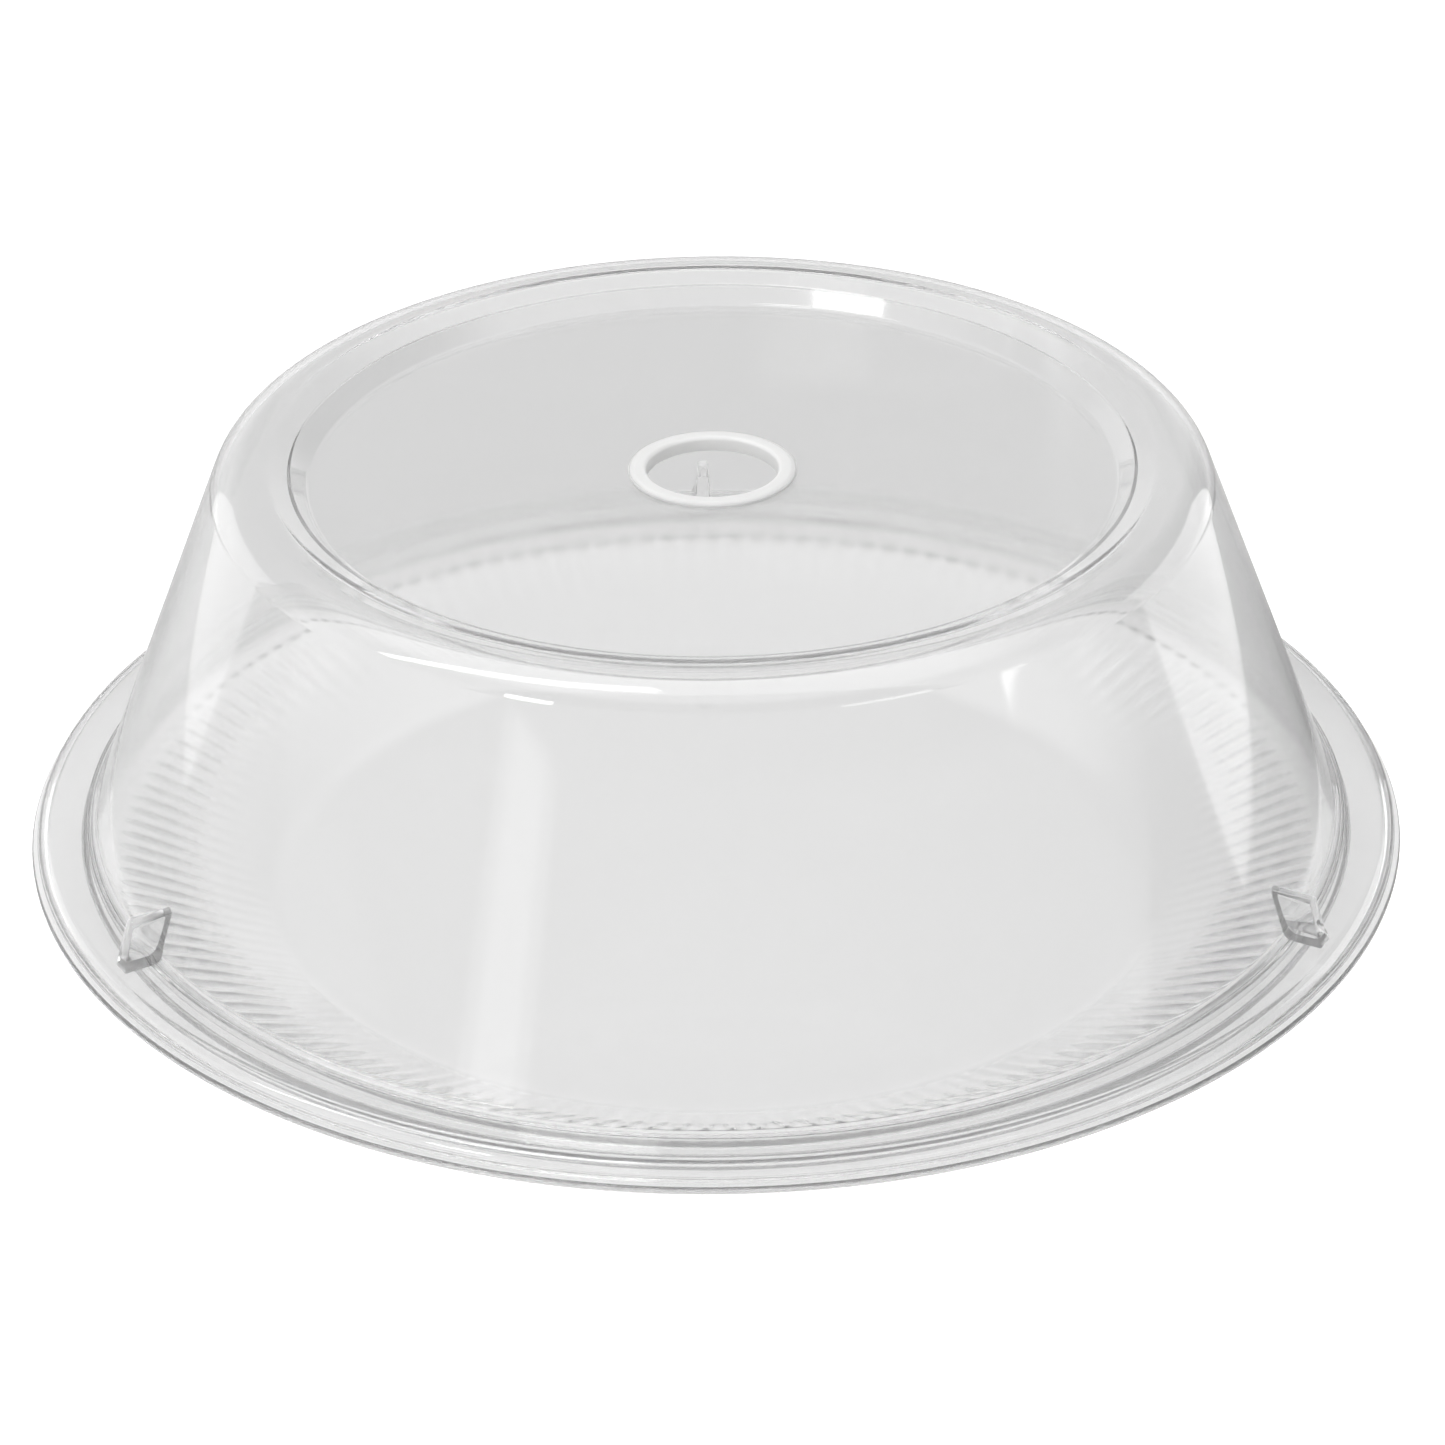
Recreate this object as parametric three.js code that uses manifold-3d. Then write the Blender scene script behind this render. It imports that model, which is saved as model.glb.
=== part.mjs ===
// Humidity dome tray: a clear dome standing on a shallow ribbed tray, with a milky ring in its vent hole.
// Millimetres, +Z up. The origin is the middle of the face that the tray stands on.
// Both mouldings are turned profiles: the tray has radial ribs on its flank, the dome has upright lugs.

import * as THREE from 'three';
import { mergeVertices } from 'three/addons/utils/BufferGeometryUtils.js';
import Module from 'manifold-3d';

const wasm = await Module();
wasm.setup();

// ---- Driving dimensions: dome ----
const rimRadius = 150;             // outer edge of the dome's brim
const domeHeight = 87;             // from the tray's land to the crest of the dome
const brimWidth = 12.6;            // from the foot of the wall out to the brim's edge
const brimRise = 3.9;              // top of the brim above the edge of its turned-down lip
const lipRounding = 3.4;           // outer corner of the brim
const wallLean = 21.2;             // degrees from the vertical
const wallFootFillet = 2.4;        // where the wall meets the brim
const shoulderRounding = 9;        // between the wall and the crest
const crestWidth = 9.8;            // from the wall's line to the inner side of the crest
const crestRounding = 5;
const crestRollWidth = 5.3;        // inner side of the crest: a gentle slope, then a steep step
const crestRollDrop = 2;
const recessStepWidth = 3.6;
const recessDepth = 5.9;           // crest to the top of the recessed panel
const recessFillet = 1.4;
const domeSheet = 2;               // thickness of the dome's moulding
const skirtDepth = 1.7;            // locating skirt, below the tray's land
const skirtThickness = 2;

// ---- Driving dimensions: stacking lugs on the dome ----
const lugCount = 3;
const lugAzimuth = 91;             // degrees, the first lug
const lugHeight = 10.8;            // above the brim
const lugReachTop = 10;            // out from the wall's foot line, less at the top than at the foot
const lugReachFoot = 8.4;
const lugThickness = 3.1;          // at the rounded top
const lugDraft = 0.25;             // growth of each side from the top to the start of the flare
const lugFlare = 1;                // swelling at the foot, on one side
const lugFlareHeight = 4.5;

// ---- Driving dimensions: vent ----
const ventHoleRadius = 15.8;       // hole in the dome's panel
const ventWall = 1.3;              // thickness of the ring's neck, round its open bore
const ventFlangeOverlap = 2.3;     // how far the flange reaches over the panel, past the hole
const ventFlangeHeight = 1.4;      // how far the ring stands proud of the panel
const ventCrownWidth = 1.3;        // the flange's top falls off towards the bore over this width
const ventEdgeRounding = 0.35;

// ---- Driving dimensions: tray ----
const trayLip = 1.3;               // the tray's rim reaches this far beyond the dome's
const wellDepth = 17.6;            // from the land down to the floor
const traySheet = 1.8;             // thickness of the floor and the flank
const landThickness = 1.6;
const ledgeDrop = 3;               // step down from the land to the ledge round the ribs
const ledgeWidth = 6;
const flankWidth = 34.7;           // horizontal run of the ribbed flank
const floorFillet = 12;            // between the flank and the floor
const trayLipRounding = 0.5;       // upper edge of the tray's rim

// ---- Driving dimensions: ribs on the tray's flank ----
const ribCount = 150;
const ribLength = 24;
const ribHeight = 0.8;             // at the outer end: a rib sinks into the flank at its inner end
const ribTopWidth = 1.1;
const ribFootWidth = 3;

// ---- Fits ----
const seatGap = 0.3;               // between faces that rest on each other
const skirtClearance = 0.5;        // between the dome's skirt and the tray's mouth
const mouthMargin = 0.8;           // the tray's mouth lies this far outside the foot of the dome's wall

// ---- Fineness ----
const turnSegments = 76;           // round the mouldings
const ringSegments = 40;           // round the vent ring
const arcStep = THREE.MathUtils.degToRad(17);
const mergeTolerance = 1e-4;

// ---- Levels and radii worked out from the driving dimensions ----
const floorTop = traySheet;
const landTop = floorTop + wellDepth;
const ledgeTop = landTop - ledgeDrop;
const brimBottom = landTop + seatGap;
const brimTop = brimBottom + brimRise;
const crestTop = landTop + domeHeight;
const panelTop = crestTop - recessDepth;

const leanSlope = Math.tan(THREE.MathUtils.degToRad(wallLean));
const footRadius = rimRadius - brimWidth;
const mouthRadius = footRadius + mouthMargin;
const flankTopRadius = mouthRadius - ledgeWidth;
const floorRadius = flankTopRadius - flankWidth;
const flankSlope = (ledgeTop - floorTop) / flankWidth;
const ventBoreRadius = ventHoleRadius - seatGap - ventWall;
const ventFlangeRadius = ventHoleRadius + ventFlangeOverlap;

const wallRadius = (z) => footRadius - (z - brimTop) * leanSlope;
const flankLevel = (r) => floorTop + (r - floorRadius) * flankSlope;

// ---- Materials ----
const clearPlastic = new THREE.MeshStandardMaterial({
  color: 0xf1f4f3, roughness: 0.06, metalness: 0, transparent: true, opacity: 0.3,
});
const milkyPlastic = new THREE.MeshStandardMaterial({ color: 0xf3f4f2, roughness: 0.42, metalness: 0 });

// ---- Profile tools: a corner is a point of a cross-section, with the rounding wanted there ----
function corner(r, z, rounding = 0) {
  return { point: new THREE.Vector2(r, z), rounding };
}

// Direction of the straight run that arrives at corner i.
function runInto(corners, i) {
  return corners[i].point.clone().sub(corners[i - 1].point).normalize();
}

// Positive where the run through corner i bends to the left.
function turnAngle(corners, i) {
  const before = runInto(corners, i);
  const after = runInto(corners, i + 1);
  return Math.atan2(before.cross(after), before.dot(after));
}

function roundedCorner(corners, i) {
  const { point, rounding } = corners[i];
  const angle = turnAngle(corners, i);
  const before = runInto(corners, i);
  const reach = rounding * Math.tan(Math.abs(angle) / 2);
  const start = point.clone().addScaledVector(before, -reach);
  const side = new THREE.Vector2(-before.y, before.x).multiplyScalar(Math.sign(angle) * rounding);
  const centre = start.clone().add(side);
  const steps = Math.max(1, Math.round(Math.abs(angle) / arcStep));
  const arc = [];
  for (let step = 0; step <= steps; step += 1) {
    arc.push(start.clone().rotateAround(centre, (angle * step) / steps));
  }
  return arc;
}

function roundedPoints(corners) {
  const points = [];
  corners.forEach((item, i) => {
    const isEnd = i === 0 || i === corners.length - 1;
    if (isEnd || item.rounding === 0) {
      points.push(item.point);
    } else {
      points.push(...roundedCorner(corners, i));
    }
  });
  return points;
}

// The same run of corners moved sideways to its left, as the other face of a sheet of even thickness.
function parallelCorners(corners, thickness) {
  return corners.map((item, i) => {
    const isEnd = i === 0 || i === corners.length - 1;
    const before = runInto(corners, Math.max(i, 1));
    const normal = new THREE.Vector2(-before.y, before.x);
    if (isEnd) {
      return { point: item.point.clone().addScaledVector(normal, thickness), rounding: 0 };
    }
    const angle = turnAngle(corners, i);
    const along = Math.tan(angle / 2) * thickness;
    const point = item.point.clone().addScaledVector(normal, thickness).addScaledVector(before, -along);
    const rounding = Math.max(item.rounding - Math.sign(angle) * thickness, 0);
    return { point, rounding };
  });
}

// ---- Solid tools ----
function solidOf(geometry) {
  const bare = geometry.clone();
  bare.deleteAttribute('normal');
  bare.deleteAttribute('uv');
  const merged = mergeVertices(bare, mergeTolerance);
  const vertProperties = new Float32Array(merged.attributes.position.array);
  const triVerts = new Uint32Array(merged.index.array);
  return new wasm.Manifold(new wasm.Mesh({ numProp: 3, vertProperties, triVerts }));
}

function turned(points, segments) {
  const geometry = new THREE.LatheGeometry(points, segments);
  geometry.rotateX(Math.PI / 2);
  return geometry;
}

function meshOf(name, geometry, material) {
  geometry.computeVertexNormals();
  const mesh = new THREE.Mesh(geometry, material);
  mesh.name = name;
  return mesh;
}

function geometryOf(solid) {
  const { vertProperties, triVerts } = solid.getMesh();
  const geometry = new THREE.BufferGeometry();
  geometry.setAttribute('position', new THREE.BufferAttribute(new Float32Array(vertProperties), 3));
  geometry.setIndex(new THREE.BufferAttribute(new Uint32Array(triVerts), 1));
  return geometry;
}

// ---- Dome ----
// Outer face of the moulding, from the lip's edge over the shoulder to the vent hole.
function domeOuterCorners() {
  const wallTopRadius = wallRadius(crestTop);
  const crestInner = wallTopRadius - crestWidth;
  const rollInner = crestInner - crestRollWidth;
  const panelRadius = rollInner - recessStepWidth;
  return [
    corner(rimRadius, brimBottom),
    corner(rimRadius, brimTop, lipRounding),
    corner(footRadius, brimTop, wallFootFillet),
    corner(wallTopRadius, crestTop, shoulderRounding),
    corner(crestInner, crestTop, crestRounding),
    corner(rollInner, crestTop - crestRollDrop, 0),
    corner(panelRadius, panelTop, recessFillet),
    corner(ventHoleRadius, panelTop),
  ];
}

// Locating skirt: drops into the tray's mouth below the brim, in place of the inner corner at the wall's foot.
function skirtCorners() {
  const outer = mouthRadius - skirtClearance;
  const inner = outer - skirtThickness;
  const underBrim = brimTop - domeSheet;
  const bottom = landTop - skirtDepth;
  const sheetRun = domeSheet / Math.cos(THREE.MathUtils.degToRad(wallLean));
  const meetsWall = brimTop + (footRadius - sheetRun - inner) / leanSlope;
  return [corner(outer, underBrim), corner(outer, bottom), corner(inner, bottom), corner(inner, meetsWall)];
}

function domeShell() {
  const outer = domeOuterCorners();
  const inner = parallelCorners(outer, domeSheet);
  const wallFoot = 2;
  inner.splice(wallFoot, 1, ...skirtCorners());
  const points = [...roundedPoints(outer), ...roundedPoints(inner).reverse()];
  points.push(points[0].clone());
  return solidOf(turned(points, turnSegments));
}

// Lug seen from the side: a blade that leans in a little towards its top, rooted in the middle of the wall.
function lugSide() {
  const top = brimTop + lugHeight;
  const foot = brimTop - domeSheet / 2;
  const root = domeSheet / 2;
  const shape = new THREE.Shape();
  shape.moveTo(wallRadius(foot) - root, foot);
  shape.lineTo(footRadius + lugReachFoot, foot);
  shape.lineTo(wallRadius(top) + lugReachTop - domeSheet / 2, top);
  shape.lineTo(wallRadius(top) - root, top);
  shape.closePath();
  const widerThanLug = 2 * (lugThickness + lugFlare);
  const geometry = new THREE.ExtrudeGeometry(shape, { depth: widerThanLug, bevelEnabled: false, steps: 1 });
  geometry.translate(0, 0, -widerThanLug / 2);
  const tangent = new THREE.Vector3(0, -1, 0);
  const radial = new THREE.Vector3(1, 0, 0);
  const up = new THREE.Vector3(0, 0, 1);
  geometry.applyMatrix4(new THREE.Matrix4().makeBasis(radial, up, tangent));
  return solidOf(geometry);
}

// Lug seen from its end: a rounded top, slightly drafted sides, and a swelling at the foot on one side.
function lugEnd() {
  const half = lugThickness / 2;
  const top = brimTop + lugHeight;
  const foot = brimTop - domeSheet;
  const flareTop = brimTop + lugFlareHeight;
  const side = half + lugDraft;
  const shape = new THREE.Shape();
  shape.moveTo(-side - lugDraft, foot);
  shape.lineTo(-half, top - half);
  shape.absarc(0, top - half, half, Math.PI, 0, true);
  shape.lineTo(side, flareTop);
  shape.bezierCurveTo(side, brimTop + lugFlareHeight / 2, side + lugFlare, flareTop - lugFlareHeight / 2,
    side + lugFlare, brimTop);
  shape.lineTo(side + lugFlare, foot);
  shape.closePath();
  const pastTheLug = rimRadius;
  const settings = { depth: pastTheLug, bevelEnabled: false, steps: 1, curveSegments: 5 };
  const geometry = new THREE.ExtrudeGeometry(shape, settings);
  const tangent = new THREE.Vector3(0, 1, 0);
  const radial = new THREE.Vector3(1, 0, 0);
  const up = new THREE.Vector3(0, 0, 1);
  geometry.applyMatrix4(new THREE.Matrix4().makeBasis(tangent, up, radial));
  return solidOf(geometry);
}

function domeCover() {
  const lug = lugSide().intersect(lugEnd());
  let dome = domeShell();
  for (let i = 0; i < lugCount; i += 1) {
    dome = dome.add(lug.rotate([0, 0, lugAzimuth + (360 * i) / lugCount]));
  }
  return meshOf('dome_cover', geometryOf(dome), clearPlastic);
}

// ---- Vent ring ----
// A neck that fills the panel's hole and a flange with a crowned top that stands on the panel.
function ventRing() {
  const neckRadius = ventHoleRadius - seatGap;
  const neckBottom = panelTop - domeSheet;
  const flangeBottom = panelTop + seatGap;
  const flangeTop = panelTop + ventFlangeHeight;
  const section = [
    corner(ventBoreRadius, neckBottom),
    corner(neckRadius, neckBottom),
    corner(neckRadius, flangeBottom),
    corner(ventFlangeRadius, flangeBottom),
    corner(ventFlangeRadius, flangeTop - ventEdgeRounding, ventEdgeRounding),
    corner(ventBoreRadius + ventCrownWidth, flangeTop, ventCrownWidth),
    corner(ventBoreRadius, flangeTop - ventCrownWidth / 2),
    corner(ventBoreRadius, neckBottom),
  ];
  return meshOf('vent_ring', geometryOf(solidOf(turned(roundedPoints(section), ringSegments))), milkyPlastic);
}

// ---- Tray ----
// The underside from the axis out to the rim, and back over the land, the ledge, the flank and the floor.
function trayCorners() {
  const trayRadius = rimRadius + trayLip;
  const landBottom = landTop - landThickness;
  const slopeLength = Math.hypot(1, flankSlope);
  const sheetShift = traySheet * (slopeLength - 1) / flankSlope;
  const stepOuter = mouthRadius + traySheet;
  return [
    corner(0, 0),
    corner(floorRadius + sheetShift, 0, floorFillet + traySheet),
    corner(flankTopRadius + sheetShift, ledgeTop - traySheet),
    corner(stepOuter, ledgeTop - traySheet),
    corner(stepOuter, landBottom),
    corner(trayRadius, landBottom),
    corner(trayRadius, landTop, trayLipRounding),
    corner(mouthRadius, landTop),
    corner(mouthRadius, ledgeTop),
    corner(flankTopRadius, ledgeTop),
    corner(floorRadius, floorTop, floorFillet),
    corner(0, floorTop),
  ];
}

// One rib: a bar of trapezium section laid down the flank, proud at its outer end, sunk at its inner end.
function flankRib() {
  const outerRadius = flankTopRadius;
  const innerRadius = outerRadius - ribLength * Math.cos(Math.atan(flankSlope));
  const outer = new THREE.Vector3(outerRadius, 0, flankLevel(outerRadius) + ribHeight);
  const inner = new THREE.Vector3(innerRadius, 0, flankLevel(innerRadius));
  const along = inner.clone().sub(outer);
  const length = along.length();
  along.normalize();
  const tangent = new THREE.Vector3(0, -1, 0);
  const up = along.clone().cross(tangent);
  const depth = traySheet / 2 + ribHeight / 2;
  const section = new THREE.Shape();
  section.moveTo(-ribFootWidth / 2, -depth);
  section.lineTo(ribFootWidth / 2, -depth);
  section.lineTo(ribTopWidth / 2, 0);
  section.lineTo(-ribTopWidth / 2, 0);
  section.closePath();
  const geometry = new THREE.ExtrudeGeometry(section, { depth: length, bevelEnabled: false, steps: 1 });
  geometry.applyMatrix4(new THREE.Matrix4().makeBasis(tangent, up, along).setPosition(outer));
  return solidOf(geometry);
}

function tray() {
  const rib = flankRib();
  let body = solidOf(turned(roundedPoints(trayCorners()), turnSegments));
  for (let i = 0; i < ribCount; i += 1) {
    body = body.add(rib.rotate([0, 0, (360 * i) / ribCount]));
  }
  return meshOf('tray', geometryOf(body), clearPlastic);
}

// ---- Assembly ----
const domeGroup = new THREE.Group();
domeGroup.add(domeCover(), ventRing());

const humidityDomeTray = new THREE.Group();
humidityDomeTray.add(tray(), domeGroup);

export default humidityDomeTray;
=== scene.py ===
# %% [markdown]
# # Humidity dome tray: a clear dome on a shallow ribbed tray
#
# The object is two clear mouldings and one small milky ring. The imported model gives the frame: where every
# part is, how big it is and how it moves. This lesson rebuilds the same parts with fine meshes, because
# clear plastic shows every facet, and gives each one the finish that the real moulding has.

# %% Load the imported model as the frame
import math

import bmesh
import bpy
from mathutils import Matrix, Vector


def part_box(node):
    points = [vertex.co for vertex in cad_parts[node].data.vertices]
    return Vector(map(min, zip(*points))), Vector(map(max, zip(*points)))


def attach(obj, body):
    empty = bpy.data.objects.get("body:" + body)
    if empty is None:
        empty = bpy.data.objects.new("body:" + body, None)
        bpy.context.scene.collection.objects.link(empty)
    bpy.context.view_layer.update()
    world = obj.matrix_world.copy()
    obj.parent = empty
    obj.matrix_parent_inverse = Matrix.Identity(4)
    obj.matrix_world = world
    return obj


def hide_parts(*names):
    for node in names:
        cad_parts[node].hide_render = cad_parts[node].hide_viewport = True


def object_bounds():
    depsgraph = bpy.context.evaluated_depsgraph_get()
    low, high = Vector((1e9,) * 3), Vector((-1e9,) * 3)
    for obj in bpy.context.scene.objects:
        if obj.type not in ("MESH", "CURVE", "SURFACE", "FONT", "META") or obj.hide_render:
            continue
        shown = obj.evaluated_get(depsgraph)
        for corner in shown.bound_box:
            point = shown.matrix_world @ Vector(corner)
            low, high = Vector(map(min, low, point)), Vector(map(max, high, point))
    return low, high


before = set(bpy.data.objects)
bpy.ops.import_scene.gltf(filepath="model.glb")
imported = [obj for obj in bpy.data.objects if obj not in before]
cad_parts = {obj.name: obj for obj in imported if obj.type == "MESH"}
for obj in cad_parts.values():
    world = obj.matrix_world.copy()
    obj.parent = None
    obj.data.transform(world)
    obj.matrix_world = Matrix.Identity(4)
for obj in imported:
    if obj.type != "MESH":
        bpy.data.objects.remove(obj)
cad_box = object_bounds()

# %% [markdown]
# ## The camera
#
# The camera stands a metre away and has a long lens, so that circles stay true ellipses. It looks down at
# about 30 degrees, aimed a little above the middle of the tray's rim. It is made first, so that everything
# after it can be judged from the same place.

# %% Camera
MM = 0.001
SENSOR_WIDTH = 36.0
FOCAL_LENGTH = 118.04
CAMERA_DISTANCE = 1.057
CAMERA_ELEVATION = math.radians(30.3)
CAMERA_ROLL = math.radians(0.59)
AIM_ASIDE = math.radians(-0.09)
AIM_UP = math.radians(0.99)
RIM_LEVEL = 17.8 * MM


def place_camera():
    data = bpy.data.cameras.new("product_camera")
    data.sensor_width = SENSOR_WIDTH
    data.lens = FOCAL_LENGTH
    data.clip_start = 0.05
    data.clip_end = 20.0
    camera = bpy.data.objects.new("product_camera", data)
    bpy.context.scene.collection.objects.link(camera)
    forward = Vector((0.0, math.cos(CAMERA_ELEVATION), -math.sin(CAMERA_ELEVATION)))
    right = Vector((1.0, 0.0, 0.0))
    up = right.cross(forward)
    axes = Matrix((right, up, -forward)).transposed()
    aim = Matrix.Rotation(AIM_ASIDE, 3, up) @ Matrix.Rotation(AIM_UP, 3, right)
    axes = aim @ axes
    roll = Matrix.Rotation(CAMERA_ROLL, 3, aim @ forward)
    place = (roll @ axes).to_4x4()
    place.translation = Vector((0.0, 0.0, RIM_LEVEL)) - forward * CAMERA_DISTANCE
    camera.matrix_world = place
    bpy.context.scene.camera = camera
    return camera


camera = place_camera()
print("camera at", tuple(round(v, 3) for v in camera.location))

# %% [markdown]
# ## Cross-sections with rounded corners
#
# Every moulding here is a turned form, so its whole shape is one cross-section. A cross-section is a list of
# corners, each with the rounding that the mould has there. Two small guard points beside each rounding keep
# the flat runs next to it flat when the mesh is shaded smooth.

# %% Rounded cross-sections
ARC_STEP = math.radians(9)
GUARD = 0.12 * MM


def corner(radius, height, rounding=0.0):
    return (Vector((radius * MM, height * MM)), rounding * MM)


def rounded_corner(before, point, after, rounding):
    into = (point - before).normalized()
    out = (after - point).normalized()
    angle = math.atan2(into.x * out.y - into.y * out.x, into.dot(out))
    reach = rounding * math.tan(abs(angle) / 2)
    start = point - into * reach
    centre = start + Vector((-into.y, into.x)) * math.copysign(rounding, angle)
    steps = max(2, round(abs(angle) / ARC_STEP))
    arc = []
    for step in range(steps + 1):
        turn = Matrix.Rotation(angle * step / steps, 2)
        arc.append(centre + turn @ (start - centre))
    return [start - into * GUARD] + arc + [arc[-1] + out * GUARD]


def cross_section(corners):
    """Points round a closed or open run of corners; the first and the last are kept as they are."""
    points = [corners[0][0]]
    for before, here, after in zip(corners, corners[1:], corners[2:]):
        if here[1] == 0.0:
            points.append(here[0])
        else:
            points.extend(rounded_corner(before[0], here[0], after[0], here[1]))
    points.append(corners[-1][0])
    return points


# %% [markdown]
# ## Turning a cross-section into a mesh
#
# The points are repeated round the axis and joined with quads. A point on the axis becomes a single vertex,
# and a closed section joins its last ring to its first. Every section runs with its material on the left, so
# that all faces look outwards; clear plastic would turn into a mirror if they looked inwards.

# %% Turned meshes
AXIS_TOLERANCE = 1e-7


def turned_mesh(name, points, segments, closed, height_at=None):
    mesh = bpy.data.meshes.new(name)
    shape = bmesh.new()
    rings = []
    for point in points:
        if point.x < AXIS_TOLERANCE:
            rings.append([shape.verts.new((0.0, 0.0, point.y))])
            continue
        ring = []
        for i in range(segments):
            angle = math.tau * i / segments
            lift = height_at(point, angle) if height_at else 0.0
            ring.append(shape.verts.new(
                (point.x * math.cos(angle), point.x * math.sin(angle), point.y + lift)))
        rings.append(ring)
    pairs = list(zip(rings, rings[1:]))
    if closed:
        pairs.append((rings[-1], rings[0]))
    for first, second in pairs:
        for i in range(segments):
            j = (i + 1) % segments
            loop = [first[i % len(first)], first[j % len(first)],
                    second[j % len(second)], second[i % len(second)]]
            face = list(dict.fromkeys(loop))
            if len(face) > 2:
                shape.faces.new(face)
    shape.to_mesh(mesh)
    shape.free()
    mesh.shade_smooth()
    piece = bpy.data.objects.new(name, mesh)
    bpy.context.scene.collection.objects.link(piece)
    return piece


# %% [markdown]
# ## The tray
#
# The tray is a shallow injection-moulded dish. Its sloping flank carries a ring of fine radial ribs: they
# stiffen the thin sheet and keep a pot's foot or a leaf from sealing against it. They are made here as a
# soft wave in the height of the flank, full over its upper part and fading out down the slope, because a
# polished mould leaves rounded ribs that bend the light gently. The base is flat and stands on the floor.

# %% Tray sizes
tray_low, tray_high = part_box("tray")
TRAY_RADIUS = tray_high.x / MM
LAND_TOP = tray_high.z / MM
TRAY_SHEET = 1.8
LAND_THICKNESS = 1.6
LEDGE_DROP = 3.0
MOUTH_RADIUS = 138.2
LEDGE_WIDTH = 6.0
FLANK_WIDTH = 34.7
FLOOR_FILLET = 12.0
RIB_COUNT = 150
RIB_HEIGHT = 0.75
RIB_RUN = 24.0
RIB_RAMP = 2.5
RIB_FADE = 0.6
RIB_SHARPNESS = 1.5
FLANK_STEPS = 14
STEP_ROUNDING = 1.4
UNDER_LEDGE_ROUNDING = 1.2
LAND_LOWER_ROUNDING = 0.5
LAND_INNER_ROUNDING = 0.6
LAND_ROUNDING = 0.7
MOUTH_ROUNDING = 0.9
LEDGE_ROUNDING = 1.2
FLANK_TOP_ROUNDING = 2.0

FLOOR_TOP = TRAY_SHEET
LEDGE_TOP = LAND_TOP - LEDGE_DROP
FLANK_TOP_RADIUS = MOUTH_RADIUS - LEDGE_WIDTH
FLOOR_RADIUS = FLANK_TOP_RADIUS - FLANK_WIDTH
FLANK_SLOPE = (LEDGE_TOP - FLOOR_TOP) / FLANK_WIDTH


def rib_lift(point, angle):
    """Height of the ribs above the flank's upper face."""
    radius = point.x / MM
    height = point.y / MM
    on_flank = abs(height - (FLOOR_TOP + (radius - FLOOR_RADIUS) * FLANK_SLOPE)) < 0.3
    if not on_flank or radius > FLANK_TOP_RADIUS - 0.1:
        return 0.0
    along = (FLANK_TOP_RADIUS - radius) / RIB_RUN
    start = min(1.0, along * RIB_RUN / RIB_RAMP)
    fade = min(1.0, max(0.0, 1.0 - along) / RIB_FADE)
    wave = 0.5 + 0.5 * math.cos(angle * RIB_COUNT)
    return RIB_HEIGHT * MM * start * fade * wave ** RIB_SHARPNESS


def tray_section():
    slope_length = math.hypot(1.0, FLANK_SLOPE)
    shift = TRAY_SHEET * (slope_length - 1.0) / FLANK_SLOPE
    step_outer = MOUTH_RADIUS + TRAY_SHEET
    land_bottom = LAND_TOP - LAND_THICKNESS
    section = [
        corner(0, 0),
        corner(FLOOR_RADIUS + shift, 0, FLOOR_FILLET + TRAY_SHEET),
        corner(FLANK_TOP_RADIUS + shift, LEDGE_TOP - TRAY_SHEET, UNDER_LEDGE_ROUNDING),
        corner(step_outer, LEDGE_TOP - TRAY_SHEET, STEP_ROUNDING),
        corner(step_outer, land_bottom, LAND_INNER_ROUNDING),
        corner(TRAY_RADIUS, land_bottom, LAND_LOWER_ROUNDING),
        corner(TRAY_RADIUS, LAND_TOP, LAND_ROUNDING),
        corner(MOUTH_RADIUS, LAND_TOP, MOUTH_ROUNDING),
        corner(MOUTH_RADIUS, LEDGE_TOP, LEDGE_ROUNDING),
        corner(FLANK_TOP_RADIUS, LEDGE_TOP, FLANK_TOP_ROUNDING),
    ]
    for step in range(1, FLANK_STEPS):
        run = RIB_RUN * step / FLANK_STEPS
        radius = FLANK_TOP_RADIUS - run
        section.append(corner(radius, LEDGE_TOP - run * FLANK_SLOPE))
    section.append(corner(FLOOR_RADIUS, FLOOR_TOP, FLOOR_FILLET))
    section.append(corner(0, FLOOR_TOP))
    return cross_section(section)


# %% Tray mesh
SAMPLES_PER_RIB = 8
tray = turned_mesh("clear_tray", tray_section(), RIB_COUNT * SAMPLES_PER_RIB, closed=False,
                   height_at=rib_lift)
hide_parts("tray")
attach(tray, "tray")
print("tray faces:", len(tray.data.polygons))

# %% [markdown]
# ## The dome
#
# The dome is one moulding of even thickness. Its brim turns down at the edge, its wall leans in, a generous
# shoulder leads to a raised crest, and the top panel is sunk inside that crest. A short skirt under the brim
# drops into the tray's mouth and keeps the dome centred.

# %% Dome sizes and section
dome_low, dome_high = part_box("dome_cover")
RIM_RADIUS = dome_high.x / MM
CREST_TOP = dome_high.z / MM
SKIRT_BOTTOM = dome_low.z / MM
SEAT_GAP = 0.3
BRIM_RISE = 3.9
BRIM_WIDTH = 12.6
WALL_LEAN = math.radians(21.2)
DOME_SHEET = 2.0
CREST_WIDTH = 9.8
CREST_ROLL_WIDTH = 5.3
CREST_ROLL_DROP = 2.0
RECESS_STEP_WIDTH = 3.6
RECESS_DEPTH = 5.9
SKIRT_CLEARANCE = 0.5
SKIRT_THICKNESS = 1.2
SKIRT_OUTER = MOUTH_RADIUS - SKIRT_CLEARANCE
SKIRT_INNER = SKIRT_OUTER - SKIRT_THICKNESS
VENT_HOLE_RADIUS = 15.8
BRIM_ROUNDING = 3.4
FOOT_ROUNDING = 2.4
SHOULDER_ROUNDING = 9
CREST_ROUNDING = 5
ROLL_ROUNDING = 0.7
RECESS_ROUNDING = 1.4
SKIRT_TOP_ROUNDING = 1.6
SKIRT_ROUNDING = 0.5
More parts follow.
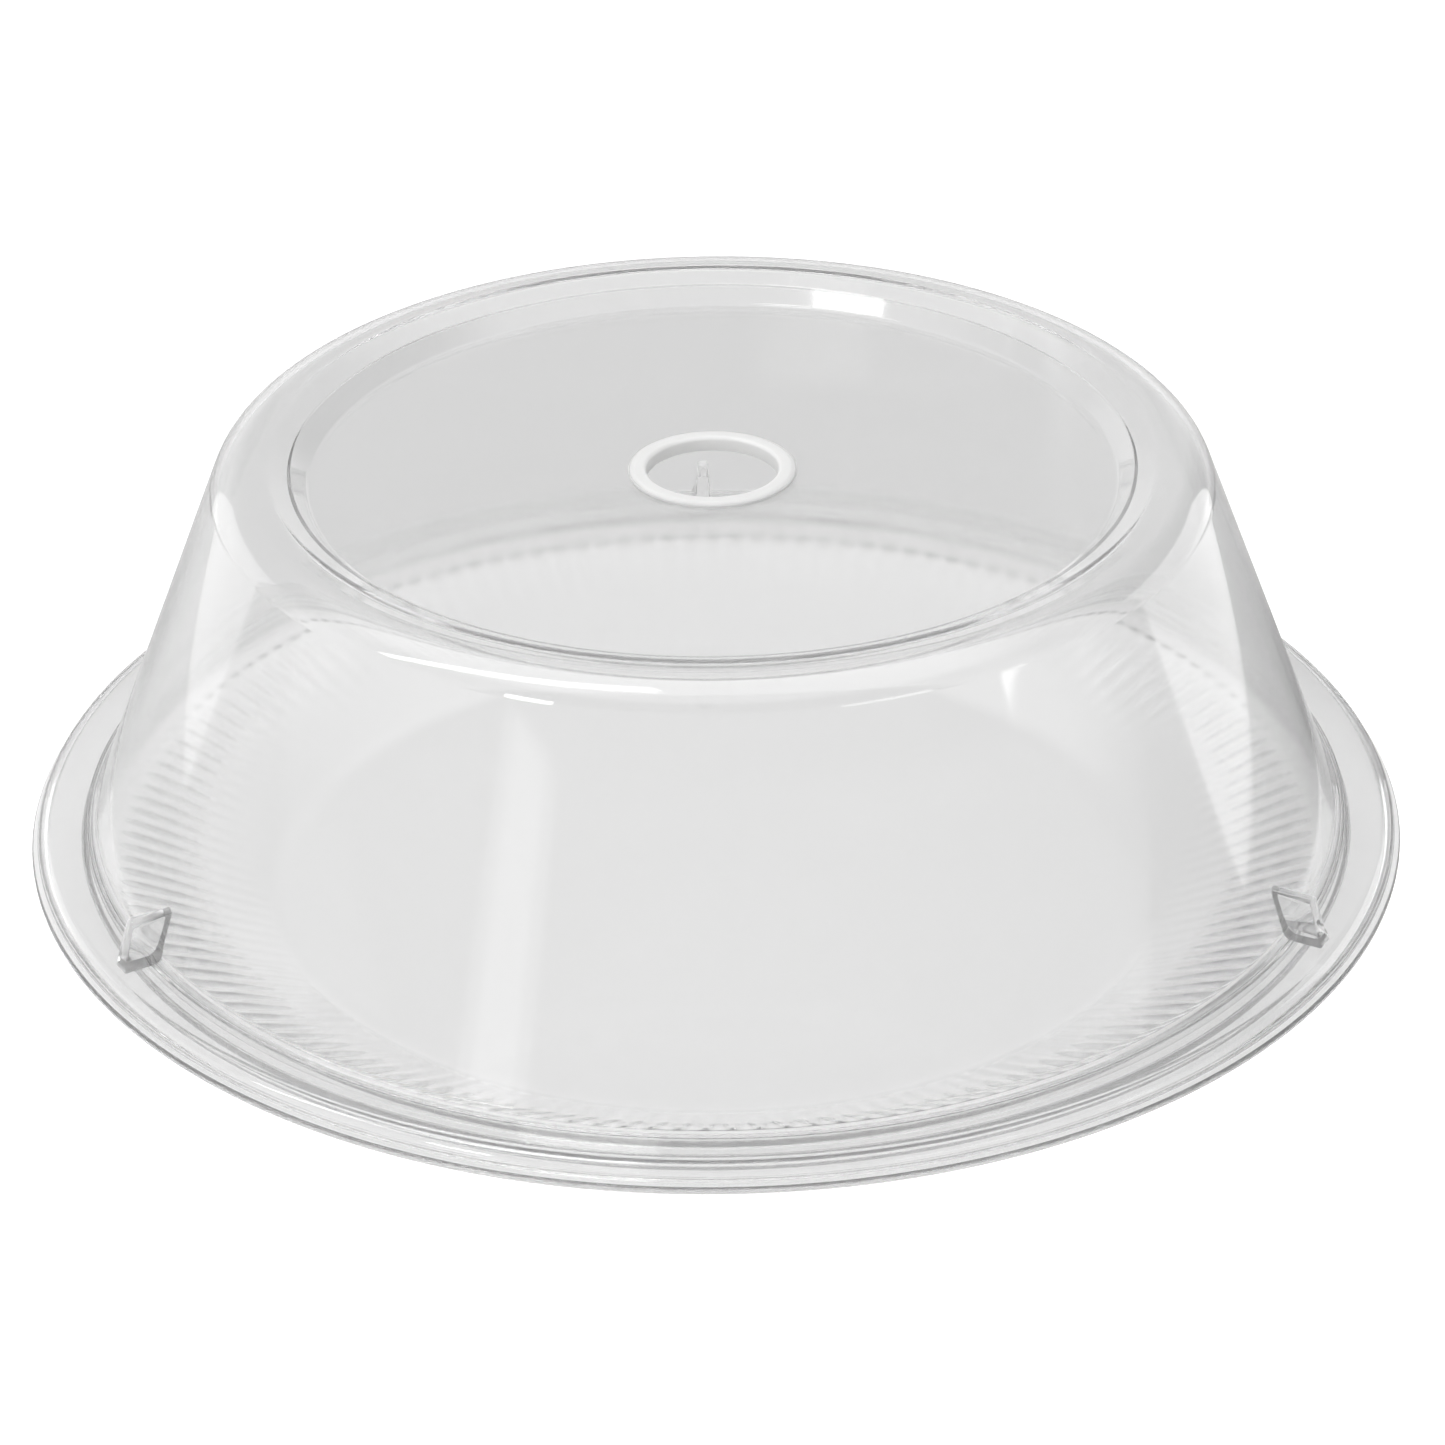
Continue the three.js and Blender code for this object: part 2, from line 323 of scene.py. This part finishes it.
SKIRT_INNER_ROUNDING = 3
HOLE_ROUNDING = 0.3
LIP_ROUNDING = 0.35
LEAST_ROUNDING = 0.25

BRIM_BOTTOM = LAND_TOP + SEAT_GAP
BRIM_TOP = BRIM_BOTTOM + BRIM_RISE
WALL_FOOT = RIM_RADIUS - BRIM_WIDTH
PANEL_TOP = CREST_TOP - RECESS_DEPTH
LEAN = math.tan(WALL_LEAN)


def wall_radius(height):
    return WALL_FOOT - (height - BRIM_TOP) * LEAN


def parallel_run(corners, thickness):
    """The inner face of a sheet whose outer face is this run of corners."""
    inner = []
    last = len(corners) - 1
    for i, (point, rounding) in enumerate(corners):
        first = corners[max(i - 1, 0)][0] if i else point
        into = (corners[1][0] - point if i == 0 else point - first).normalized()
        normal = Vector((-into.y, into.x))
        if i in (0, last):
            inner.append((point + normal * thickness, 0.0))
            continue
        out = (corners[i + 1][0] - point).normalized()
        angle = math.atan2(into.x * out.y - into.y * out.x, into.dot(out))
        moved = point + normal * thickness - into * (math.tan(angle / 2) * thickness)
        inner.append((moved, max(rounding - math.copysign(thickness, angle), LEAST_ROUNDING * MM)))
    return inner


def dome_section():
    crest_inner = wall_radius(CREST_TOP) - CREST_WIDTH
    roll_inner = crest_inner - CREST_ROLL_WIDTH
    outer = [
        corner(RIM_RADIUS, BRIM_BOTTOM),
        corner(RIM_RADIUS, BRIM_TOP, BRIM_ROUNDING),
        corner(WALL_FOOT, BRIM_TOP, FOOT_ROUNDING),
        corner(wall_radius(CREST_TOP), CREST_TOP, SHOULDER_ROUNDING),
        corner(crest_inner, CREST_TOP, CREST_ROUNDING),
        corner(roll_inner, CREST_TOP - CREST_ROLL_DROP, ROLL_ROUNDING),
        corner(roll_inner - RECESS_STEP_WIDTH, PANEL_TOP, RECESS_ROUNDING),
        corner(VENT_HOLE_RADIUS, PANEL_TOP),
    ]
    inner = parallel_run(outer, DOME_SHEET * MM)
    meets_wall = BRIM_TOP + (WALL_FOOT - DOME_SHEET / math.cos(WALL_LEAN) - SKIRT_INNER) / LEAN
    skirt = [
        corner(SKIRT_OUTER, BRIM_TOP - DOME_SHEET, SKIRT_TOP_ROUNDING),
        corner(SKIRT_OUTER, SKIRT_BOTTOM, SKIRT_ROUNDING),
        corner(SKIRT_INNER, SKIRT_BOTTOM, SKIRT_ROUNDING),
        corner(SKIRT_INNER, meets_wall, SKIRT_INNER_ROUNDING),
    ]
    inner[2:3] = skirt
    inner.reverse()
    hole_top = (outer[-1][0], HOLE_ROUNDING * MM)
    hole_bottom = (inner[0][0], HOLE_ROUNDING * MM)
    lip_inner = (inner[-1][0], LIP_ROUNDING * MM)
    lip_outer = (outer[0][0], LIP_ROUNDING * MM)
    start = (outer[0][0] + Vector((0.0, 1.0 * MM)), 0.0)
    ring = [start] + outer[1:-1] + [hole_top, hole_bottom] + inner[1:-1] + [lip_inner, lip_outer, start]
    return cross_section(ring)[:-1]


# %% Dome shell
DOME_SEGMENTS = 360
dome = turned_mesh("clear_dome", dome_section(), DOME_SEGMENTS, closed=True)
print("dome faces:", len(dome.data.polygons))

# %% [markdown]
# ## The stacking lugs
#
# Three upright blades stand where the wall meets the brim, a third of a turn apart. When domes are stacked,
# each rests on the lugs of the one below, so that they don't jam. A lug has a rounded top, slightly tapered
# sides for the mould, and a swelling at its foot on one side. It is cut from a block by two outlines, then
# joined to the shell, so that the clear plastic has no hidden faces inside.

# %% Stacking lugs
LUG_COUNT = 3
LUG_AZIMUTH = math.radians(91)
LUG_HEIGHT = 10.8
LUG_REACH_TOP = 10.0
LUG_REACH_FOOT = 8.4
LUG_THICKNESS = 3.1
LUG_DRAFT = 0.25
LUG_FLARE = 1.0
LUG_FLARE_HEIGHT = 4.5
LUG_EDGE = 0.35
LUG_EDGE_STEPS = 3
TOP_ARC_STEPS = 12
FLARE_STEPS = 10
SHARP_ANGLE = math.radians(38)


def smooth_step(share):
    share = min(max(share, 0.0), 1.0)
    return share * share * (3.0 - 2.0 * share)


def lug_outline():
    """Points round the lug seen from its end: across in x, up in y, in millimetres."""
    half = LUG_THICKNESS / 2
    top = BRIM_TOP + LUG_HEIGHT
    foot = BRIM_TOP - DOME_SHEET / 2
    points = [(-half - 2 * LUG_DRAFT, foot)]
    for step in range(TOP_ARC_STEPS + 1):
        angle = math.pi * (1.0 - step / TOP_ARC_STEPS)
        points.append((half * math.cos(angle), top - half + half * math.sin(angle)))
    for step in range(FLARE_STEPS + 1):
        share = step / FLARE_STEPS
        across = half + LUG_DRAFT + LUG_FLARE * smooth_step(share)
        points.append((across, BRIM_TOP + LUG_FLARE_HEIGHT * (1.0 - share)))
    points.append((half + LUG_DRAFT + LUG_FLARE, foot))
    return points


def lug_reach(height, inner):
    """How far out from the axis a lug starts or ends at this height."""
    if inner:
        return wall_radius(height) - DOME_SHEET / 2
    top = BRIM_TOP + LUG_HEIGHT
    foot = BRIM_TOP - DOME_SHEET / 2
    outer_top = wall_radius(top) + LUG_REACH_TOP - DOME_SHEET / 2
    outer_foot = WALL_FOOT + LUG_REACH_FOOT
    return outer_foot + (outer_top - outer_foot) * (height - foot) / (top - foot)


def stacking_lug(name, azimuth):
    shape = bmesh.new()
    ends = []
    for inner in (True, False):
        ring = []
        for across, height in lug_outline():
            ring.append(shape.verts.new((lug_reach(height, inner) * MM, across * MM, height * MM)))
        ends.append(ring)
    count = len(ends[0])
    for i in range(count):
        j = (i + 1) % count
        shape.faces.new((ends[0][i], ends[0][j], ends[1][j], ends[1][i]))
    shape.faces.new(ends[0])
    shape.faces.new(ends[1])
    bmesh.ops.recalc_face_normals(shape, faces=shape.faces)
    outer_rim = [edge for edge in shape.edges if all(v in ends[1] for v in edge.verts)]
    bmesh.ops.bevel(shape, geom=outer_rim, offset=LUG_EDGE * MM, segments=LUG_EDGE_STEPS, affect="EDGES",
                    profile=0.5)
    shape.transform(Matrix.Rotation(azimuth, 4, "Z"))
    mesh = bpy.data.meshes.new(name)
    shape.to_mesh(mesh)
    shape.free()
    mesh.shade_smooth()
    lug = bpy.data.objects.new(name, mesh)
    bpy.context.scene.collection.objects.link(lug)
    return lug


def join_into(shell, part):
    """Adds a part to the shell as one solid and removes the part."""
    union = shell.modifiers.new("join", "BOOLEAN")
    union.operation = "UNION"
    union.solver = "MANIFOLD"
    union.object = part
    bpy.context.view_layer.objects.active = shell
    bpy.ops.object.modifier_apply(modifier=union.name)
    bpy.data.objects.remove(part)


for i in range(LUG_COUNT):
    join_into(dome, stacking_lug(f"lug_{i + 1}", LUG_AZIMUTH + math.tau * i / LUG_COUNT))
dome.data.set_sharp_from_angle(angle=SHARP_ANGLE)
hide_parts("dome_cover")
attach(dome, "dome")
print("dome with lugs:", len(dome.data.polygons), "faces")

# %% [markdown]
# ## The vent ring
#
# A milky ring is pressed into the hole in the top panel. Its neck fills the hole and its crowned flange
# stands on the panel, with a fine step at its outer edge left by the mould.

# %% Vent ring
ring_low, ring_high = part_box("vent_ring")
VENT_BORE = 14.2
VENT_FLANGE = ring_high.x / MM
VENT_TOP = ring_high.z / MM
VENT_NECK = VENT_HOLE_RADIUS - SEAT_GAP
VENT_BOTTOM = ring_low.z / MM
EDGE_STEP = 0.35
EDGE_STEP_DROP = 0.45
CROWN_START_DROP = 0.35
CROWN_WIDTH = 1.2
CROWN_ROUNDING = 0.9
VENT_TOP_ROUNDING = 0.8
VENT_FOOT_ROUNDING = 0.25
FINE_ROUNDING = 0.15
EDGE_STEP_ROUNDING = 0.2


def vent_section():
    flange_bottom = PANEL_TOP + SEAT_GAP
    ring = [
        corner(VENT_BORE, PANEL_TOP),
        corner(VENT_BORE, VENT_BOTTOM, VENT_FOOT_ROUNDING),
        corner(VENT_NECK, VENT_BOTTOM, VENT_FOOT_ROUNDING),
        corner(VENT_NECK, flange_bottom, FINE_ROUNDING),
        corner(VENT_FLANGE, flange_bottom, FINE_ROUNDING),
        corner(VENT_FLANGE, VENT_TOP - EDGE_STEP_DROP, EDGE_STEP_ROUNDING),
        corner(VENT_FLANGE - EDGE_STEP, VENT_TOP - CROWN_START_DROP, FINE_ROUNDING),
        corner(VENT_FLANGE - CROWN_WIDTH, VENT_TOP, CROWN_ROUNDING),
        corner(VENT_BORE, VENT_TOP, VENT_TOP_ROUNDING),
        corner(VENT_BORE, PANEL_TOP),
    ]
    return cross_section(ring)[:-1]


RING_SEGMENTS = 192
vent = turned_mesh("milky_vent_ring", vent_section(), RING_SEGMENTS, closed=True)
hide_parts("vent_ring")
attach(vent, "dome")
print("vent ring faces:", len(vent.data.polygons))

# %% [markdown]
# ## Colours and nodes
#
# Colours are written as sRGB hex values, as a colour picker gives them, and turned to linear light by one
# function. One more function adds a shader node with its settings and its links.

# %% Colour and node helpers


def linear(hex_colour):
    channels = [int(hex_colour[i:i + 2], 16) / 255.0 for i in (1, 3, 5)]
    curved = [c / 12.92 if c <= 0.04045 else ((c + 0.055) / 1.055) ** 2.4 for c in channels]
    return (*curved, 1.0)


def add_node(material, kind, settings=None, links=None):
    """Adds a node. Settings go to its sockets, by name or number, or to its own properties."""
    node = material.node_tree.nodes.new(kind)
    for key, value in (settings or {}).items():
        if isinstance(key, int) or key in node.inputs:
            node.inputs[key].default_value = value
        else:
            setattr(node, key, value)
    for key, output in (links or {}).items():
        material.node_tree.links.new(output, node.inputs[key])
    return node


def new_material(name):
    material = bpy.data.materials.new(name)
    material.use_nodes = True
    material.node_tree.nodes.clear()
    return material


def finish_material(material, shader):
    add_node(material, "ShaderNodeOutputMaterial", links={"Surface": shader.outputs["BSDF"]})
    return material


# %% [markdown]
# ## Clear polystyrene
#
# Both big mouldings are general-purpose polystyrene, injected into a polished steel mould. It is as clear as
# glass and bends light more than acrylic, with an IOR of 1.59. Its faces are never quite flat: the melt
# shrinks as it cools, so the eye sees a slow waviness in every reflection, and a faint unevenness of gloss.

# %% Clear polystyrene
PS_IOR = 1.59
PS_HAZE = 0.07
PS_GLOSS = (0.02, 0.07)
FLOW_WAVE = 38.0
GLOSS_PATCH = 9.0
DOME_WAVE_HEIGHT = 0.05
TRAY_WAVE_HEIGHT = 0.04


def clear_polystyrene(name, tint, wave_height):
    material = new_material(name)
    place = add_node(material, "ShaderNodeTexCoord")
    wave = add_node(material, "ShaderNodeTexNoise",
                    {"Scale": 1.0 / (FLOW_WAVE * MM), "Detail": 1.0, "Roughness": 0.4},
                    {"Vector": place.outputs["Object"]})
    bump = add_node(material, "ShaderNodeBump", {"Strength": 1.0, "Distance": wave_height * MM},
                    {"Height": wave.outputs["Fac"]})
    haze = add_node(material, "ShaderNodeTexNoise", {"Scale": 1.0 / (GLOSS_PATCH * MM), "Detail": 3.0},
                    {"Vector": place.outputs["Object"]})
    gloss = add_node(material, "ShaderNodeMapRange", {"To Min": PS_GLOSS[0], "To Max": PS_GLOSS[1]},
                     {"Value": haze.outputs["Fac"]})
    shader = add_node(material, "ShaderNodeBsdfPrincipled",
                      {"Base Color": linear(tint), "IOR": PS_IOR, "Transmission Weight": 1.0 - PS_HAZE},
                      {"Roughness": gloss.outputs["Result"], "Normal": bump.outputs["Normal"]})
    return finish_material(material, shader)


dome.data.materials.clear()
dome.data.materials.append(clear_polystyrene("clear_polystyrene_dome", "#ffffff", DOME_WAVE_HEIGHT))
tray.data.materials.clear()
tray.data.materials.append(clear_polystyrene("clear_polystyrene_tray", "#ffffff", TRAY_WAVE_HEIGHT))
print("clear polystyrene on the dome and the tray")

# %% [markdown]
# ## Natural polypropylene
#
# The ring is uncoloured polypropylene: milky, a little waxy, letting some light into its body. Subsurface
# scattering gives that soft inner glow, and a satin roughness keeps its highlights broad.

# %% Natural polypropylene
PP_IOR = 1.49
PP_GLOSS = (0.28, 0.4)
PP_GRAIN = 0.6
PP_GRAIN_HEIGHT = 0.02
PP_SCATTER = 2.2


def natural_polypropylene(name):
    material = new_material(name)
    place = add_node(material, "ShaderNodeTexCoord")
    grain = add_node(material, "ShaderNodeTexNoise", {"Scale": 1.0 / (PP_GRAIN * MM), "Detail": 2.0},
                     {"Vector": place.outputs["Object"]})
    gloss = add_node(material, "ShaderNodeMapRange", {"To Min": PP_GLOSS[0], "To Max": PP_GLOSS[1]},
                     {"Value": grain.outputs["Fac"]})
    bump = add_node(material, "ShaderNodeBump", {"Strength": 0.4, "Distance": PP_GRAIN_HEIGHT * MM},
                    {"Height": grain.outputs["Fac"]})
    shader = add_node(material, "ShaderNodeBsdfPrincipled",
                      {"Base Color": linear("#f3f3f2"), "IOR": PP_IOR, "Subsurface Weight": 0.75,
                       "Subsurface Radius": (1.0, 1.0, 1.0), "Subsurface Scale": PP_SCATTER * MM,
                       "Transmission Weight": 0.1},
                      {"Roughness": gloss.outputs["Result"], "Normal": bump.outputs["Normal"]})
    return finish_material(material, shader)


vent.data.materials.clear()
vent.data.materials.append(natural_polypropylene("natural_polypropylene_ring"))
print("natural polypropylene on the vent ring")

# %% [markdown]
# ## The studio
#
# Clear plastic is seen only by what it reflects and bends. A pale floor and an even, pale surround keep the
# whole object light, with hardly a shadow. The floor is exposed to pure white where it is seen directly, and
# stays pale grey seen through the plastic, so that the object stands out from it. That grey is painted
# light:
# the floor glows, evenly under the object and dimmer beside it, with painted shade on the right. Low white
# boards on both sides brighten the flanks of the dome, a long softbox overhead on the left draws the
# highlight on the shoulder, and a narrow strip light makes the upright glow in the front wall.

# %% Floor
FLOOR_WHITE = 1.3
# Painted light on the floor: emission levels under, beside and far from the object, and a painted shade
# towards the right.
PAINTED_GLOW_UNDER = 0.75
PAINTED_GLOW_BESIDE = 0.46
PAINTED_GLOW_FAR = 0.5
UNDER_RADIUS = (150 * MM, 190 * MM)
FAR_RADIUS = (290 * MM, 420 * MM)
PAINTED_SHADE_SIDE = 82
PAINTED_SHADE_COSINE = (0.4, 0.85)
PAINTED_SHADE_LEVEL = 0.2
FLOOR_REACH = 4.0
FLOOR_DROP = 0.2 * MM


def direction(azimuth, elevation):
    """Unit vector; azimuth 0 is towards the camera and positive to the right, both in degrees."""
    turn = math.radians(azimuth)
    rise = math.radians(elevation)
    return Vector((math.sin(turn) * math.cos(rise), -math.cos(turn) * math.cos(rise), math.sin(rise)))


def smooth_range(material, source, start, end, low, high):
    """Goes softly from low to high while the source goes from start to end."""
    node = add_node(material, "ShaderNodeMapRange",
                    {"interpolation_type": "SMOOTHSTEP", "From Min": start, "From Max": end,
                     "To Min": low, "To Max": high}, {"Value": source})
    return node.outputs["Result"]


def multiplied(material, first, second):
    node = add_node(material, "ShaderNodeMath", {"operation": "MULTIPLY"}, {0: first, 1: second})
    return node.outputs["Value"]


def painted_floor_light(material):
    """Painted light: floor emission standing in for light and shade, even under the object, darker beside
    it, with painted shade on the right.
    """
    place = add_node(material, "ShaderNodeTexCoord").outputs["Object"]
    distance = add_node(material, "ShaderNodeVectorMath", {"operation": "LENGTH"}, {"Vector": place})
    way = add_node(material, "ShaderNodeVectorMath", {"operation": "NORMALIZE"}, {"Vector": place})
    side = add_node(material, "ShaderNodeVectorMath",
                    {"operation": "DOT_PRODUCT", 1: direction(PAINTED_SHADE_SIDE, 0)}, {0: way.outputs["Vector"]})
    under = smooth_range(material, distance.outputs["Value"], *UNDER_RADIUS, 1.0, 0.0)
    far = smooth_range(material, distance.outputs["Value"], *FAR_RADIUS, PAINTED_GLOW_BESIDE, PAINTED_GLOW_FAR)
    shade = smooth_range(material, side.outputs["Value"], *PAINTED_SHADE_COSINE, 1.0, PAINTED_SHADE_LEVEL)
    glow = add_node(material, "ShaderNodeMix", {"B": PAINTED_GLOW_UNDER},
                    {"Factor": under, "A": multiplied(material, far, shade)})
    return glow.outputs["Result"]


def studio_floor():
    mesh = bpy.data.meshes.new("studio_floor")
    corners = [(x * FLOOR_REACH, y * FLOOR_REACH, 0) for x, y in ((-1, -1), (1, -1), (1, 1), (-1, 1))]
    mesh.from_pydata(corners, [], [(0, 1, 2, 3)])
    floor = bpy.data.objects.new("studio_floor", mesh)
    floor.location.z = cad_box[0].z - FLOOR_DROP
    bpy.context.scene.collection.objects.link(floor)
    material = new_material("pale_sweep_with_painted_light")
    # The paper's emission is painted light and painted shade, seen through the plastic; camera rays see even
    # white.
    paper = add_node(material, "ShaderNodeBsdfPrincipled",
                     {"Base Color": linear("#808080"), "Roughness": 0.9,
                      "Emission Color": linear("#ffffff")},
                     {"Emission Strength": painted_floor_light(material)})
    white = add_node(material, "ShaderNodeEmission", {"Strength": FLOOR_WHITE})
    path = add_node(material, "ShaderNodeLightPath")
    both = add_node(material, "ShaderNodeMixShader", links={"Fac": path.outputs["Is Camera Ray"]})
    material.node_tree.links.new(paper.outputs["BSDF"], both.inputs[1])
    material.node_tree.links.new(white.outputs["Emission"], both.inputs[2])
    add_node(material, "ShaderNodeOutputMaterial", links={"Surface": both.outputs["Shader"]})
    mesh.materials.append(material)
    return floor


studio_floor()
print("floor ready")

# %% Surround and lights
SURROUND_LOW = 1.15
SURROUND_MIDDLE = 0.74
SURROUND_HIGH = 1.6
LOW_SKY = (0.2, 0.45)
HIGH_SKY = (0.58, 0.8)
FLAG_DIRECTION = (118, 20)
FLAG_COSINE = (0.69, 0.93)
FLAG_SHADE = 0.25


def soft_light(name, place, target, size, power):
    data = bpy.data.lights.new(name, "AREA")
    data.shape = "RECTANGLE"
    data.size, data.size_y = size
    data.energy = power
    light = bpy.data.objects.new(name, data)
    light.location = place
    aim = Vector(target) - Vector(place)
    light.rotation_euler = aim.to_track_quat("-Z", "Y").to_euler()
    bpy.context.scene.collection.objects.link(light)
    return light


def panel_power(width, height, radiance):
    """Power in watts that gives a flat panel this radiance."""
    return radiance * math.pi * width * height


def aimed_light(name, azimuth, elevation, distance, width, height, radiance):
    """A softbox seen from the dome in this direction."""
    middle = Vector((0.0, 0.0, 0.06))
    place = middle + direction(azimuth, elevation) * distance
    return soft_light(name, place, middle, (width, height), panel_power(width, height, radiance))


def soft_surround():
    world = bpy.data.worlds.new("soft_surround")
    world.use_nodes = True
    world.node_tree.nodes.clear()
    look = add_node(world, "ShaderNodeTexCoord").outputs["Generated"]
    level = add_node(world, "ShaderNodeSeparateXYZ", links={"Vector": look}).outputs["Z"]
    to_middle = smooth_range(world, level, *LOW_SKY, SURROUND_LOW, SURROUND_MIDDLE)
    to_top = smooth_range(world, level, *HIGH_SKY, 1.0, SURROUND_HIGH / SURROUND_MIDDLE)
    to_flag = add_node(world, "ShaderNodeVectorMath",
                       {"operation": "DOT_PRODUCT", 1: direction(*FLAG_DIRECTION)}, {0: look})
    flag = smooth_range(world, to_flag.outputs["Value"], *FLAG_COSINE, 1.0, FLAG_SHADE)
    strength = multiplied(world, multiplied(world, to_middle, to_top), flag)
    sky = add_node(world, "ShaderNodeBackground", links={"Strength": strength})
    add_node(world, "ShaderNodeOutputWorld", links={"Surface": sky.outputs["Background"]})
    bpy.context.scene.world = world


soft_surround()

# %% Boards and softboxes
BOARD_Z = 0.12
BOARD_AIM = (0.0, 0.05, BOARD_Z)
# name, place, size, radiance
BOARDS = (
    ("left_board", (-0.36, 0.20, BOARD_Z), (0.22, 0.24), 0.55),
    ("right_board", (0.36, 0.15, BOARD_Z), (0.28, 0.24), 1.0),
)
OVERHEAD_PLACE = (-1.5, -0.5, 1.25)
OVERHEAD_SIZE = (2.7, 0.2)
OVERHEAD_RADIANCE = 5.0
OVERHEAD_TURN = math.radians(7.6)
# name, azimuth, elevation, distance, width, height, radiance
LAMPS = (
    ("left_lamp", -39, 18, 1.5, 0.26, 0.14, 8.0),
    ("left_strip", -37, 5, 1.6, 0.34, 0.34, 0.42),
    ("left_strip_core", -37, 5, 1.55, 0.2, 0.34, 0.42),
    ("right_lamp", 36, 16, 1.5, 0.5, 0.12, 2.2),
    ("far_right_lamp", 64, 10, 1.5, 0.16, 0.12, 2.6),
)

for name, place, size, radiance in BOARDS:
    soft_light(name, place, BOARD_AIM, size, panel_power(*size, radiance))
overhead = soft_light("overhead_softbox", OVERHEAD_PLACE, (*OVERHEAD_PLACE[:2], 0.0), OVERHEAD_SIZE,
                      panel_power(*OVERHEAD_SIZE, OVERHEAD_RADIANCE))
overhead.rotation_euler.z += OVERHEAD_TURN
for lamp in LAMPS:
    aimed_light(*lamp)
bpy.context.scene.view_settings.view_transform = "Standard"
print("light ready")

# %% [markdown]
# ## Room for light to pass many clear faces
#
# A ray that enters the brim crosses the dome, its skirt and the tray, and can be caught inside a sheet for a
# while. With few bounces it would end there as a dark line, so the limits are raised.

# %% Bounces
MOST_BOUNCES = 48
bpy.context.scene.cycles.max_bounces = MOST_BOUNCES
bpy.context.scene.cycles.transmission_bounces = MOST_BOUNCES
bpy.context.scene.cycles.glossy_bounces = MOST_BOUNCES
bpy.context.scene.cycles.diffuse_bounces = MOST_BOUNCES
print("light may pass", MOST_BOUNCES, "faces")

# %% Finish
print("scene built")
